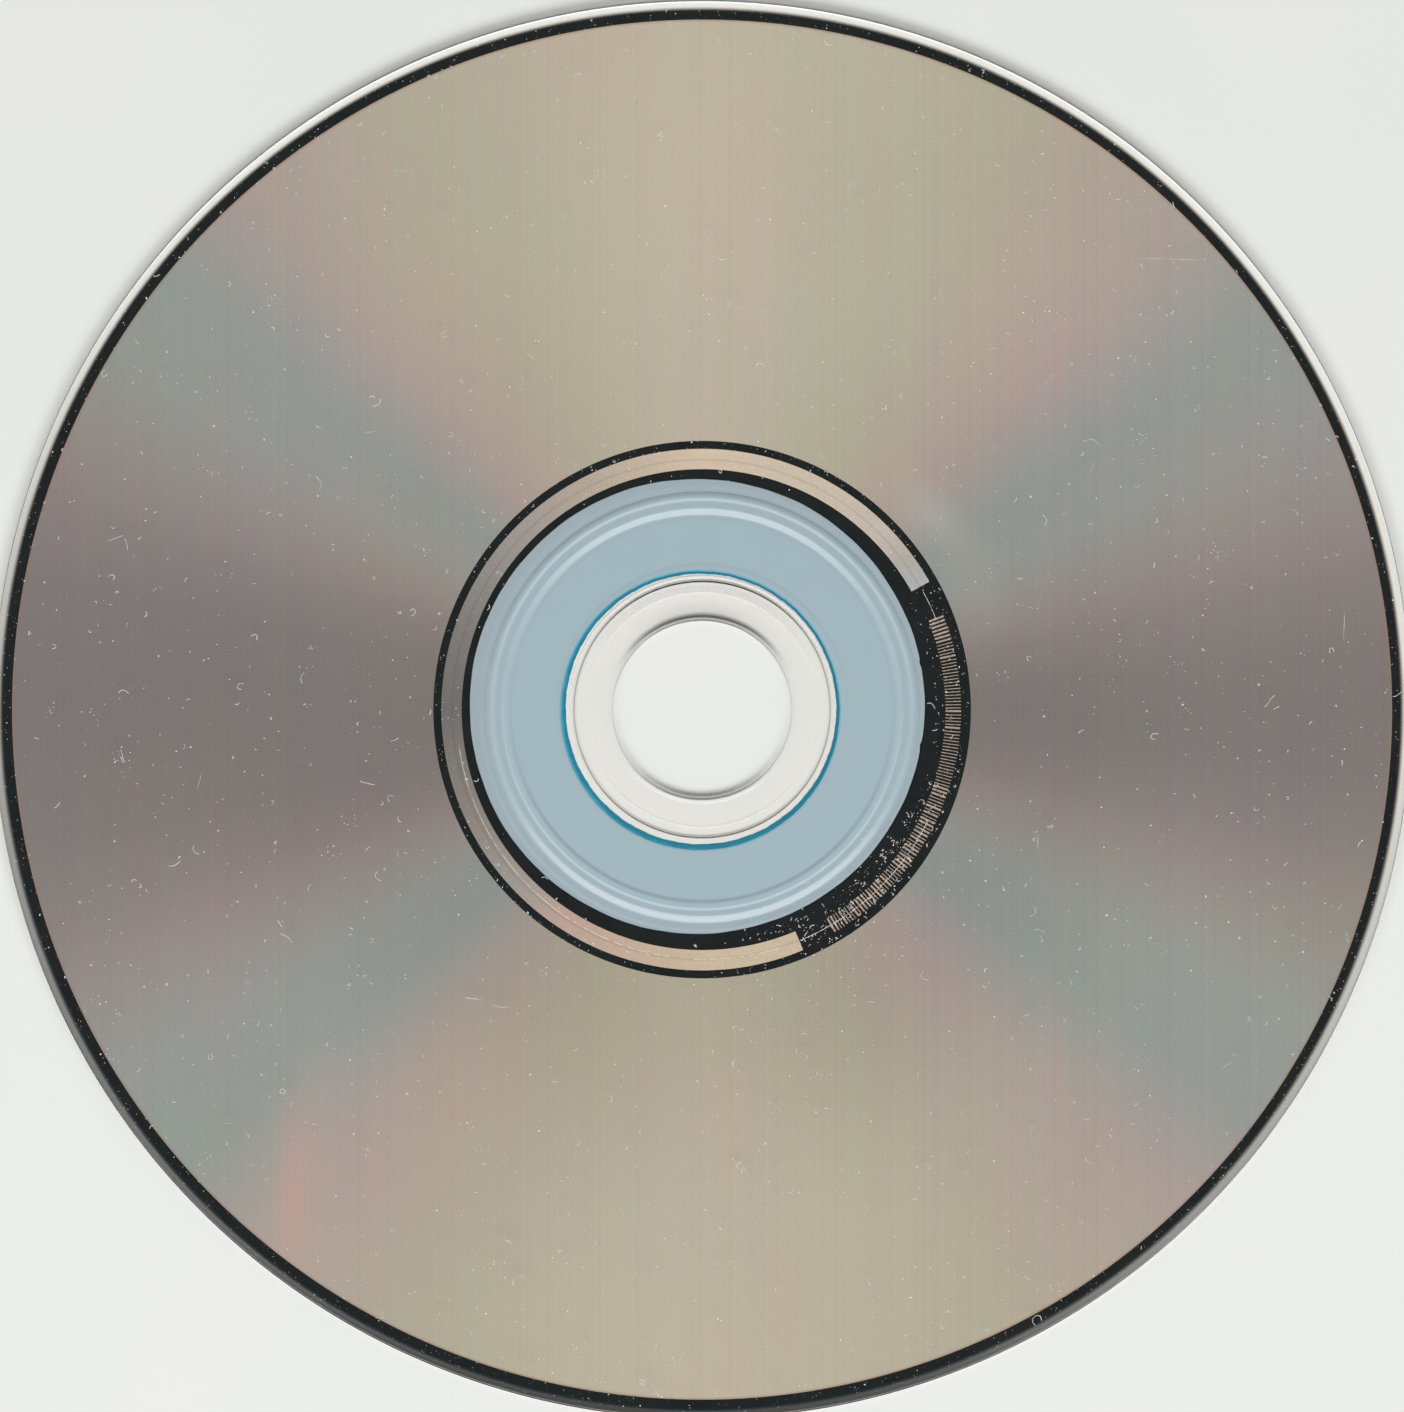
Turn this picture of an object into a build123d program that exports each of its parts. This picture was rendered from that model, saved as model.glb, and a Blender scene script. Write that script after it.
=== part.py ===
from build123d import *
import os

# A pressed compact disc, in millimetres, +Z up, lying on its label side with the read side up.
# The origin is on the axis of the centre hole, level with the lowest face, which is the label print's.

# Clear moulding
rim_radius = 60.0
hole_radius = 7.5
disc_thickness = 1.2
hole_bevel = 0.15  # at both mouths of the hole
rim_read_fillet = 0.2
rim_label_bevel = 0.1

# Recess of the mould's centre insert, round the hole on the read side
insert_radius = 9.95
insert_depth = 0.02

# Stacking ridge on the read side, which keeps stacked discs off each other's data
ridge_radius = 17.25  # middle of the crest
ridge_foot_width = 1.6
ridge_crest_width = 0.4
ridge_height = 0.2
ridge_fillet = 0.3  # at the crest's edges and at the feet

# V groove on the label side, left by the ring that holds the stamper
groove_radius = 10.85
groove_width = 0.36
groove_depth = 0.12

# Reflective film on the label side. Its masks sit a little off the axis, and so do its edges.
film_thickness = 0.01
film_inner_radius = 19.27
film_inner_centre = (-0.42, 0.27)
film_rim_margin = 0.66
film_outer_centre = (-0.2, 0.08)

# Protective lacquer, which covers the film and seals both of its edges
lacquer_thickness = 0.02
lacquer_inner_overlap = 0.85
lacquer_outer_overlap = 0.4

# White undercoat and blue print of the label, each from a screen that sits a little off the axis
white_ink_thickness = 0.02
white_ink_inner_radius = 11.8
white_ink_inner_centre = (-0.16, -0.07)
white_ink_rim_margin = 1.2
blue_ink_thickness = 0.02
blue_ink_inner_radius = 11.46
blue_ink_inner_centre = (-0.09, 0.04)
blue_ink_overlap = 0.1  # past the undercoat, towards the rim

# Heights of the faces, from the lowest up. Each coat levels off, so its outer face is flat.
blue_ink_face = 0.0
white_ink_face = blue_ink_face + blue_ink_thickness
lacquer_face = white_ink_face + white_ink_thickness
film_face = lacquer_face + lacquer_thickness
label_face = film_face + film_thickness
read_face = label_face + disc_thickness

# Outer edges of the coats
film_outer_radius = rim_radius - film_rim_margin
white_ink_outer_radius = rim_radius - white_ink_rim_margin
blue_ink_outer_radius = white_ink_outer_radius + blue_ink_overlap


def corners(section, *points):
    # The section's corners at the given places.
    return [section.vertices().sort_by_distance(Vector(*point))[0] for point in points]


def plate_section():
    # Half of the plain plate, with the recess round the hole. X is the radius and Y the height.
    insert_face = read_face - insert_depth
    outline = Polyline(
        (hole_radius, label_face),
        (rim_radius, label_face),
        (rim_radius, read_face),
        (insert_radius, read_face),
        (insert_radius, insert_face),
        (hole_radius, insert_face),
        close=True,
    )
    plate = make_face(outline)
    plate = chamfer(corners(plate, (hole_radius, label_face), (hole_radius, insert_face)), hole_bevel)
    plate = chamfer(corners(plate, (rim_radius, label_face)), rim_label_bevel)
    return fillet(corners(plate, (rim_radius, read_face)), rim_read_fillet)


def with_ridge(plate):
    # The stacking ridge, a low trapezium that blends into the read face.
    feet = [(ridge_radius + side * ridge_foot_width / 2, read_face) for side in (-1, 1)]
    crest = [(ridge_radius + side * ridge_crest_width / 2, read_face + ridge_height) for side in (-1, 1)]
    ridge = make_face(Polyline(feet[0], crest[0], crest[1], feet[1], close=True))
    return fillet(corners(plate + ridge, *feet, *crest), ridge_fillet)


def with_groove(plate):
    # The V groove, cut up into the label face.
    mouth = [(groove_radius + side * groove_width / 2, label_face) for side in (-1, 1)]
    root = (groove_radius, label_face + groove_depth)
    return plate - make_face(Polyline(mouth[0], root, mouth[1], close=True))


def moulding():
    # The clear disc as it leaves the mould, one section turned round the axis.
    section = with_groove(with_ridge(plate_section()))
    return revolve(Plane.XZ * section, Axis.Z)


def coat(face, inner_radius, inner_centre, outer_radius, outer_centre=(0, 0), over=()):
    # A flat-faced coat, from its own outer face up to the moulding, less the coats that it lies over.
    height = label_face - face
    disc = Pos(*outer_centre, face) * extrude(Circle(outer_radius), height)
    opening = Pos(*inner_centre, face) * extrude(Circle(inner_radius), height)
    layer = disc - opening
    for covered in over:
        layer -= covered
    return layer


moulded_disc = moulding()
film = coat(
    film_face,
    film_inner_radius,
    film_inner_centre,
    film_outer_radius,
    film_outer_centre,
)
lacquer = coat(
    lacquer_face,
    film_inner_radius - lacquer_inner_overlap,
    (0, 0),
    film_outer_radius + lacquer_outer_overlap,
    over=[film],
)
white_ink = coat(
    white_ink_face,
    white_ink_inner_radius,
    white_ink_inner_centre,
    white_ink_outer_radius,
    over=[film, lacquer],
)
blue_ink = coat(
    blue_ink_face,
    blue_ink_inner_radius,
    blue_ink_inner_centre,
    blue_ink_outer_radius,
    over=[film, lacquer, white_ink],
)

pieces = {
    "polycarbonate_disc": moulded_disc,
    "reflective_film": film,
    "protective_lacquer": lacquer,
    "white_label_ink": white_ink,
    "blue_label_ink": blue_ink,
}

os.makedirs("parts", exist_ok=True)
for name, piece in pieces.items():
    export_step(piece, f"parts/{name}.step")
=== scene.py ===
import math
import random
from types import SimpleNamespace

import bmesh
import bpy
from mathutils import Matrix, Vector


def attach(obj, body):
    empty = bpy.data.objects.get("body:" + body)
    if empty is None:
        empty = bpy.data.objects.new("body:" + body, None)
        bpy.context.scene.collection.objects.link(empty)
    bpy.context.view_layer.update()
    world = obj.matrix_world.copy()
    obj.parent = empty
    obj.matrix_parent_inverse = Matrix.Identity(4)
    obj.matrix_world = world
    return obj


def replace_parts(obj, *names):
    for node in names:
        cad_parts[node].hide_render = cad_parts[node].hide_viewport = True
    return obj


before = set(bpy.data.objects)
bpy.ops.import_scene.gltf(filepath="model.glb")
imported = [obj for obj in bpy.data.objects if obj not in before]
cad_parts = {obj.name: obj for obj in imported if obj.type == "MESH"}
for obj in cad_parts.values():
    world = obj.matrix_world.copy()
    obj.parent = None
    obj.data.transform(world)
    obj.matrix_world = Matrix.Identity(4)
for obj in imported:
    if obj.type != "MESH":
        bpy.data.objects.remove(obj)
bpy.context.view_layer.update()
print("frame loaded:", ", ".join(sorted(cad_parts)))

mm = 0.001
ringSteps = 360  # faces round a ring whose edges are true circles
fineSteps = 720  # the same where an edge is uneven
hair = 1e-3  # mm within which a vertex counts as on a circle or at a height
levelTilt = 0.9999  # Z of a face's normal from which the face counts as level
clearGain = 0.86  # what is left of a tone once it has been lit and seen through the moulding


# Small helpers for meshes

def finishPiece(name, mesh, materials, sharpAngle=25):
    # Turns a bmesh, worked in mm, into a piece of the disc.
    bmesh.ops.scale(mesh, vec=(mm, mm, mm), verts=mesh.verts)
    bmesh.ops.recalc_face_normals(mesh, faces=mesh.faces)
    data = bpy.data.meshes.new(name)
    mesh.to_mesh(data)
    mesh.free()
    data.polygons.foreach_set("use_smooth", [True] * len(data.polygons))
    data.set_sharp_from_angle(angle=math.radians(sharpAngle))
    for material in materials:
        data.materials.append(material)
    piece = bpy.data.objects.new(name, data)
    bpy.context.scene.collection.objects.link(piece)
    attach(piece, "root")
    return piece


def spunRing(mesh, points, steps=ringSteps):
    # A closed cross-section all round the axis, as a circle that is extruded from corner to corner.
    radius, height = points[0]
    verts = bmesh.ops.create_circle(mesh, segments=steps, radius=radius)["verts"]
    bmesh.ops.translate(mesh, vec=(0, 0, height), verts=verts)
    start = list(verts)
    edges = list(dict.fromkeys(edge for vert in verts for edge in vert.link_edges))
    for nextRadius, nextHeight in points[1:] + points[:1]:
        grown = bmesh.ops.extrude_edge_only(mesh, edges=edges)["geom"]
        verts = [part for part in grown if isinstance(part, bmesh.types.BMVert)]
        edges = [part for part in grown if isinstance(part, bmesh.types.BMEdge)]
        ratio = nextRadius / radius
        bmesh.ops.scale(mesh, vec=(ratio, ratio, 1), verts=verts)
        bmesh.ops.translate(mesh, vec=(0, 0, nextHeight - height), verts=verts)
        radius, height = nextRadius, nextHeight
    bmesh.ops.remove_doubles(mesh, verts=start + verts, dist=hair / 10)


def spunSector(mesh, inner, outer, low, high, startAngle, endAngle):
    # A slab between two radii that only goes part of the way round, with a step for each degree.
    section = ((inner, low), (outer, low), (outer, high), (inner, high))
    face = mesh.faces.new([mesh.verts.new((radius, 0, height)) for radius, height in section])
    turn = Matrix.Rotation(math.radians(startAngle), 4, "Z")
    bmesh.ops.transform(mesh, matrix=turn, verts=list(face.verts))
    bmesh.ops.spin(
        mesh,
        geom=[*face.verts, *face.edges, face],
        cent=(0, 0, 0),
        axis=(0, 0, 1),
        angle=math.radians(endAngle - startAngle),
        steps=round(endAngle - startAngle),
    )
    openEdges = [edge for edge in mesh.edges if edge.is_boundary]
    if openEdges:
        bmesh.ops.holes_fill(mesh, edges=openEdges, sides=4)


def stopsBetween(inner, outer, stride=4.0):
    # Radii between two others, so that no face of a spun shape is a long sliver.
    count = max(1, round((outer - inner) / stride))
    return [inner + (outer - inner) * index / count for index in range(1, count)]


def slabSection(inner, outer, low, high):
    radii = [inner, *stopsBetween(inner, outer), outer]
    return [(radius, low) for radius in radii] + [(radius, high) for radius in reversed(radii)]


def moveRing(mesh, radius, centre, wave=lambda angle: 0):
    # Shifts one circle of vertices off the axis, and makes it a little uneven.
    for vert in mesh.verts:
        if abs(vert.co.xy.length - radius) > hair:
            continue
        angle = math.atan2(vert.co.y, vert.co.x)
        outward = Vector((math.cos(angle), math.sin(angle), 0))
        vert.co += Vector((*centre, 0)) + outward * wave(angle)


def edgeWave(angle, waves):
    # Unevenness of an edge, as a sum of waves: height, count round the disc, start.
    return sum(height * math.sin(count * angle + start) for height, count, start in waves)


def ringEdges(mesh, radius, height):
    # Edges that lie on one circle of a spun shape.
    level = [vert for vert in mesh.verts if abs(vert.co.z - height) < hair]
    ring = {vert for vert in level if abs(vert.co.xy.length - radius) < hair}
    return [edge for edge in mesh.edges if ring.issuperset(edge.verts)]


def bevelEdges(mesh, edges, offset, segments):
    bmesh.ops.bevel(
        mesh,
        geom=edges,
        offset=offset,
        segments=segments,
        profile=0.5,
        affect="EDGES",
        material=-1,
    )


def pour(mesh, part):
    # Adds a small bmesh to a big one, which is quicker than working in the big one.
    data = bpy.data.meshes.new("part")
    part.to_mesh(data)
    part.free()
    mesh.from_mesh(data)
    bpy.data.meshes.remove(data)


# Small helpers for node trees

def newMaterial(name):
    material = bpy.data.materials.new(name)
    material.use_nodes = True
    tree = material.node_tree
    tree.nodes.clear()
    return material, tree


def plug(tree, socket, value):
    # Links a socket to another one, or sets it to a plain value.
    if isinstance(value, bpy.types.NodeSocket):
        tree.links.new(value, socket)
    else:
        socket.default_value = value


def addNode(tree, kind, inputs=None, **settings):
    node = tree.nodes.new(kind)
    for name, value in settings.items():
        setattr(node, name, value)
    for name, value in (inputs or {}).items():
        plug(tree, node.inputs[name], value)
    return node


def maths(tree, operation, *values, clamp=False):
    node = addNode(tree, "ShaderNodeMath", operation=operation, use_clamp=clamp)
    for socket, value in zip(node.inputs, values):
        plug(tree, socket, value)
    return node.outputs[0]


def weighed(tree, x, shareX, y, shareY):
    return maths(tree, "ADD", maths(tree, "MULTIPLY", x, shareX), maths(tree, "MULTIPLY", y, shareY))


def lengthOf(tree, x, y):
    return maths(tree, "SQRT", weighed(tree, x, x, y, y))


def ease(tree, value, low, high, fromValue=0.0, toValue=1.0):
    # Goes smoothly from one value to the other as the input goes from low to high.
    inputs = {"Value": value, "From Min": low, "From Max": high, "To Min": fromValue, "To Max": toValue}
    node = addNode(tree, "ShaderNodeMapRange", inputs, interpolation_type="SMOOTHSTEP")
    return node.outputs["Result"]


def noise(tree, place, scale, detail, roughness=0.5, dimensions="3D"):
    # Cloudy unevenness. Along one axis it needs only that part of the place.
    where = "W" if dimensions == "1D" else "Vector"
    inputs = {where: place, "Scale": scale, "Detail": detail, "Roughness": roughness}
    return addNode(tree, "ShaderNodeTexNoise", inputs, noise_dimensions=dimensions)


def discPlace(tree, centre=(0, 0)):
    # Object coordinates in mm from a point on the disc, their X and Y parts and the radius.
    coordinates = tree.nodes.new("ShaderNodeTexCoord")
    inputs = {"Vector": coordinates.outputs["Object"], "Location": (-centre[0], -centre[1], 0)}
    inputs["Scale"] = (1 / mm, 1 / mm, 1 / mm)
    place = addNode(tree, "ShaderNodeMapping", inputs).outputs[0]
    x, y, _ = addNode(tree, "ShaderNodeSeparateXYZ", {"Vector": place}).outputs
    return SimpleNamespace(place=place, x=x, y=y, across=lengthOf(tree, x, y))


def awayFrom(tree, across, radius):
    # Distance from a circle round the axis.
    return maths(tree, "ABSOLUTE", maths(tree, "SUBTRACT", across, radius))


def linear(level):
    level = level / 255
    return level / 12.92 if level <= 0.04045 else ((level + 0.055) / 1.055) ** 2.4


def tone(red, green, blue, gain=1.0):
    # A colour written as it looks on a screen, 0 to 255, with what the moulding takes away put back.
    return (linear(red) / gain, linear(green) / gain, linear(blue) / gain, 1.0)


def ramp(tree, factor, stops):
    node = addNode(tree, "ShaderNodeValToRGB", {"Fac": factor})
    elements = node.color_ramp.elements
    elements.remove(elements[1])
    for index, (position, colour) in enumerate(stops):
        element = elements.new(position) if index else elements[0]
        element.position = position
        element.color = colour
    return node.outputs["Color"]


def toneRamp(tree, factor, stops, gain=1.0):
    return ramp(tree, factor, [(position, tone(*colour, gain=gain)) for position, colour in stops])


def mixColour(tree, factor, first, second, blend="MIX"):
    node = addNode(tree, "ShaderNodeMix", data_type="RGBA", blend_type=blend, clamp_result=False)
    for index, value in ((0, factor), (6, first), (7, second)):
        plug(tree, node.inputs[index], value)
    return node.outputs[2]


def brighten(tree, colour, gain):
    level = addNode(tree, "ShaderNodeCombineColor", {"Red": gain, "Green": gain, "Blue": gain})
    return mixColour(tree, 1.0, colour, level.outputs[0], "MULTIPLY")


def solidShader(tree, colour, roughness, specular=0.5, metallic=0.0):
    inputs = {"Base Color": colour, "Metallic": metallic, "Roughness": roughness}
    inputs["Specular IOR Level"] = specular
    return addNode(tree, "ShaderNodeBsdfPrincipled", inputs)


def asSurface(tree, shader):
    output = tree.nodes.new("ShaderNodeOutputMaterial")
    tree.links.new(shader.outputs[0], output.inputs["Surface"])


def cloudyMaterial(name, tones, scale, detail, roughness, gain=1.0, centre=(0, 0)):
    # An opaque finish that drifts between its tones.
    material, tree = newMaterial(name)
    clouds = noise(tree, discPlace(tree, centre).place, scale, detail)
    colour = toneRamp(tree, clouds.outputs["Fac"], tones, gain)
    asSurface(tree, solidShader(tree, colour, roughness))
    return material


def clearShader(tree, passed, gloss, ior=1.58):
    # Lets light straight through, and mirrors a part of it where it comes from outside.
    sheer = addNode(tree, "ShaderNodeBsdfTransparent", {"Color": passed})
    shine = addNode(tree, "ShaderNodeBsdfGlossy", {"Color": (1, 1, 1, 1), "Roughness": gloss})
    edge = addNode(tree, "ShaderNodeFresnel", {"IOR": ior})
    side = tree.nodes.new("ShaderNodeNewGeometry")
    outside = maths(tree, "SUBTRACT", 1.0, side.outputs["Backfacing"])
    return mixShaders(tree, maths(tree, "MULTIPLY", edge.outputs[0], outside), sheer, shine)


def mixShaders(tree, share, first, second):
    blend = addNode(tree, "ShaderNodeMixShader", {"Fac": share})
    tree.links.new(first.outputs[0], blend.inputs[1])
    tree.links.new(second.outputs[0], blend.inputs[2])
    return blend


# Camera, straight above the read side as the scanner is

cameraRig = {
    "lens": 250,
    "sensor": 36,
    "height": 830.65,
    "centre": (-0.008, 0.305),
    "clip": (0.01, 20),  # in metres
}

cameraData = bpy.data.cameras.new("camera")
cameraData.lens = cameraRig["lens"]
cameraData.sensor_width = cameraRig["sensor"]
cameraData.clip_start, cameraData.clip_end = cameraRig["clip"]
camera = bpy.data.objects.new("camera", cameraData)
bpy.context.scene.collection.objects.link(camera)
camera.location = Vector((*cameraRig["centre"], cameraRig["height"])) * mm
bpy.context.scene.camera = camera
bpy.context.scene.view_settings.view_transform = "Standard"


# Floor, room light and lamps

studio = {
    "paper": [(0.3, (242, 244, 240)), (0.7, (244, 245, 242))],
    "paperClouds": 0.05,
    "floorRadius": 4000,
    "floorDrop": 0.02,
    "roomLight": 0.10,
    "room": [
        # how far up the room is seen, 0 at the horizon and 1 overhead, and the tone there
        (0.0, (240, 242, 239)),
        (0.45, (240, 242, 239)),
        (0.80, (170, 173, 172)),
        (0.93, (98, 102, 102)),
        (1.0, (88, 92, 93)),
    ],
    "lampSide": (-0.1, -0.65),  # Y of the direction where the room starts to dim and is dimmest
    "lampSideTone": (74, 80, 84),
    "lamps": {
        # compass direction, tilt from straight up, distance, width, depth, power in watts
        "keyLamp": (-90, 38, 2.0, 3.04, 1.04, 52.0),
        "leftLamp": (180, 40, 2.0, 1.35, 0.85, 1.7),
        "rightLamp": (0, 40, 2.0, 1.35, 0.85, 1.5),
        "backLamp": (90, 58, 2.0, 2.00, 0.65, 1.0),
    },
}


def addFloor():
    mesh = bmesh.new()
    bmesh.ops.create_circle(mesh, cap_ends=True, radius=studio["floorRadius"] * mm, segments=96)
    bmesh.ops.translate(mesh, vec=(0, 0, -studio["floorDrop"] * mm), verts=mesh.verts)
    data = bpy.data.meshes.new("floor")
    mesh.to_mesh(data)
    mesh.free()
    material, tree = newMaterial("palePaper")
    clouds = noise(tree, discPlace(tree).place, studio["paperClouds"], detail=1.0, dimensions="2D")
    paper = toneRamp(tree, clouds.outputs["Fac"], studio["paper"])
    asSurface(tree, solidShader(tree, paper, roughness=0.9, specular=0.1))
    data.materials.append(material)
    floor = bpy.data.objects.new("floor", data)
    bpy.context.scene.collection.objects.link(floor)


def addRoom():
    # Even light for the surfaces. What mirrors and clear plastic see is dim overhead and pale low down.
    world = bpy.data.worlds.new("room")
    bpy.context.scene.world = world
    world.use_nodes = True
    tree = world.node_tree
    tree.nodes.clear()
    direction = tree.nodes.new("ShaderNodeTexCoord")
    parts = addNode(tree, "ShaderNodeSeparateXYZ", {"Vector": direction.outputs["Generated"]})
    seen = toneRamp(tree, parts.outputs["Z"], studio["room"])
    path = tree.nodes.new("ShaderNodeLightPath")
    reflected = maths(tree, "SUBTRACT", 1.0, path.outputs["Is Camera Ray"])
    towardLamp = ease(tree, parts.outputs["Y"], *studio["lampSide"])
    dimmed = maths(tree, "MULTIPLY", towardLamp, reflected)
    seen = mixColour(tree, dimmed, seen, tone(*studio["lampSideTone"]))
    shown = maths(tree, "MAXIMUM", path.outputs["Is Camera Ray"], path.outputs["Is Glossy Ray"])
    shown = maths(tree, "MAXIMUM", shown, path.outputs["Is Transmission Ray"])
    even = studio["roomLight"]
    colour = mixColour(tree, shown, (even, even, even, 1), seen)
    background = addNode(tree, "ShaderNodeBackground", {"Color": colour, "Strength": 1.0})
    output = tree.nodes.new("ShaderNodeOutputWorld")
    tree.links.new(background.outputs[0], output.inputs["Surface"])


def addLamp(name, compass, tilt, distance, width, depth, power):
    lamp = bpy.data.lights.new(name, "AREA")
    lamp.shape = "RECTANGLE"
    lamp.size = width
    lamp.size_y = depth
    lamp.energy = power
    rig = bpy.data.objects.new(name, lamp)
    bpy.context.scene.collection.objects.link(rig)
    turn, lean = math.radians(compass), math.radians(tilt)
    away = Vector((math.cos(turn) * math.sin(lean), math.sin(turn) * math.sin(lean), math.cos(lean)))
    rig.location = away * distance
    rig.rotation_euler = away.to_track_quat("Z", "Y").to_euler()


addFloor()
addRoom()
for lampName, lampFacts in studio["lamps"].items():
    addLamp(lampName, *lampFacts)
print("camera, floor and lamps ready")


# Clear moulding

moulding = {
    "holeRadius": 7.5,
    "holeBevel": 0.15,
    "hubStop": 8.7,  # a circle of vertices between the hole and the groove
    "hubOuter": 11.5,
    "rimShadeFrom": 58.95,
    "rimRadius": 60.0,
    "rimBevel": 0.1,
    "rimRound": (0.2, 5),  # offset and segments
    "rimFlat": 0.1,  # read face left between the rim's round and the next circle
    "underside": 0.075,  # 5 microns above the film, so that no two faces lie in one plane
    "readFace": 1.27,
    "insertRadius": 9.95,
    "insertDepth": 0.02,
    "grooveRadius": 10.85,
    "grooveHalf": 0.15,
    "grooveRoot": 0.065,
    "grooveDepth": 0.115,
    "ridgeRadius": 17.25,
    "ridgeFoot": 0.8,
    "ridgeCrest": 0.2,
    "ridgeHeight": 0.2,
    "ridgeRound": (0.1, 4),
    "ridgeFlat": 0.3,  # read face kept level on both sides of the ridge
    "wallShade": 0.62,  # the height up to which the hole's wall keeps light back
    "wallReach": 0.005,  # how near to the hole's or rim's radius a face is wall
    "gloss": 0.06,
    "ridgeGloss": 0.26,
    # painted shade that also holds back lamp light, so that its shadows are real: how much light each
    # edge passes: sine of the angle round the disc, share
    "holeWall": [
        (-1.0, 0.04), (-0.92, 0.14), (-0.70, 0.48), (-0.30, 0.82),
        (0.50, 0.88), (0.80, 0.75), (1.0, 0.62),
    ],
    "upperMouth": [(-1.0, 0.97), (0.20, 0.90), (0.70, 0.74), (0.92, 0.50), (1.0, 0.42)],
    "lowerMouth": [(-1.0, 0.42), (-0.70, 0.74), (0.0, 0.93), (0.70, 0.90), (1.0, 0.85)],
    "rimWall": [(-1.0, 0.04), (-0.82, 0.08), (-0.45, 0.36), (0.0, 0.42), (1.0, 0.45)],
    "rimTint": (1.0, 0.98, 0.95),
    "grooveFloor": [(-1.0, 0.26), (-0.6, 0.55), (0.0, 0.72), (0.60, 0.50), (0.85, 0.18), (1.0, 0.07)],
    "grooveTint": (1.0, 0.93, 0.88),
    "hubTint": (0.995, 0.985, 0.974, 1),
    # tones of the hub's painted light and painted shade
    "hubPaintedLight": (1.0, 1.0, 0.985, 1),
    "hubPaintedShade": (0.10, 0.075, 0.055, 1),
    "markCore": 0.2,  # share of a mark's half width over which it is at its strongest
    "hubLightAndShade": [
        # painted light and painted shade rings: radius, half width, sine where it starts, sine where it
        # is full, share, light or dark
        (7.80, 0.20, -0.50, -0.95, 0.90, "light"),
        (9.95, 0.14, 0.10, 0.80, 0.30, "light"),
        (9.95, 0.14, -0.10, -0.80, 0.26, "light"),
        (11.22, 0.20, -0.50, 0.90, 0.80, "light"),
        (7.90, 0.14, 0.50, 1.04, 0.55, "dark"),
        (7.95, 0.36, 0.35, 1.04, 0.34, "dark"),
        (10.32, 0.35, 0.30, 1.00, 0.06, "dark"),
    ],
    "rimSkew": 0.4,  # how far the rim's painted light and shade are turned to the right
    "rimTurn": (-0.02, 0.78),  # between which the near tones give way to the far ones, 0 near to 1 far
    "rimPaintedGlow": [(0.2, (200, 184, 166)), (0.48, (252, 250, 240)), (1.0, (254, 254, 250))],
    "rimPaintedShade": [
        (0.2, (42, 58, 66)),
        (0.42, (96, 108, 113)),
        (0.60, (158, 162, 161)),
        (0.80, (182, 178, 170)),
        (1.0, (172, 168, 162)),
    ],
    "rimTonesFrom": 59.0,  # radius at 0 in both lists, with 1 at the rim
    "rimFade": (59.13, 59.60),  # radii over which the rim's tones come up from the film's edge
    "rimFadeCentre": (-0.05, 0.03),
}


def clearMaterial(name, gloss, ior=1.58):
    material, tree = newMaterial(name)
    asSurface(tree, clearShader(tree, (1, 1, 1, 1), gloss, ior))
    return material


def sideways(tree, at, skew=0.0):
    # 0 at the disc's near edge, by the main lamp, and 1 at its far edge. Skew adds the right side. It
    # places the painted light and shade.
    toward = maths(tree, "MULTIPLY_ADD", at.x, skew, at.y)
    return maths(tree, "MULTIPLY_ADD", maths(tree, "DIVIDE", toward, at.across), 0.5, 0.5)


def sidedShadeMaterial(name, shares, tint=(1.0, 1.0, 1.0), skew=0.0):
    # Clear plastic with painted shade: it passes more or less light round the disc, by where the main
    # lamp is, for the light that its edge bends away. It also holds back the lamps' light, so its
    # shadows are real.
    material, tree = newMaterial(name)
    stops = [((sine + 1) / 2, (*[share * part for part in tint], 1)) for sine, share in shares]
    passed = ramp(tree, sideways(tree, discPlace(tree), skew), stops)
    asSurface(tree, clearShader(tree, passed, moulding["gloss"]))
    return material


def hubMaterial():
    # The hub's underside, with painted light and painted shade: faint light and dark rings that stand
    # in for what the moulded edges throw there.
    material, tree = newMaterial("hubUndersideLightAndShade")
    at = discPlace(tree)
    upward = maths(tree, "DIVIDE", at.y, at.across)
    lit = 0.0
    passed = moulding["hubTint"]
    for radius, half, start, full, share, kind in moulding["hubLightAndShade"]:
        band = ease(tree, awayFrom(tree, at.across, radius), half, half * moulding["markCore"])
        where = ease(tree, upward, start, full, 0.0, share)
        amount = maths(tree, "MULTIPLY", band, where)
        if kind == "light":
            lit = maths(tree, "ADD", lit, amount)
        else:
            passed = mixColour(tree, amount, passed, moulding["hubPaintedShade"])
    glow = addNode(tree, "ShaderNodeBsdfDiffuse", {"Color": moulding["hubPaintedLight"]})
    asSurface(tree, mixShaders(tree, lit, clearShader(tree, passed, moulding["gloss"]), glow))
    return material


def bondedMaterial():
    # The underside where a coat is bonded to it, so nothing shines back.
    material, tree = newMaterial("bondedUnderside")
    asSurface(tree, addNode(tree, "ShaderNodeBsdfTransparent", {"Color": (1, 1, 1, 1)}))
    return material


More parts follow.
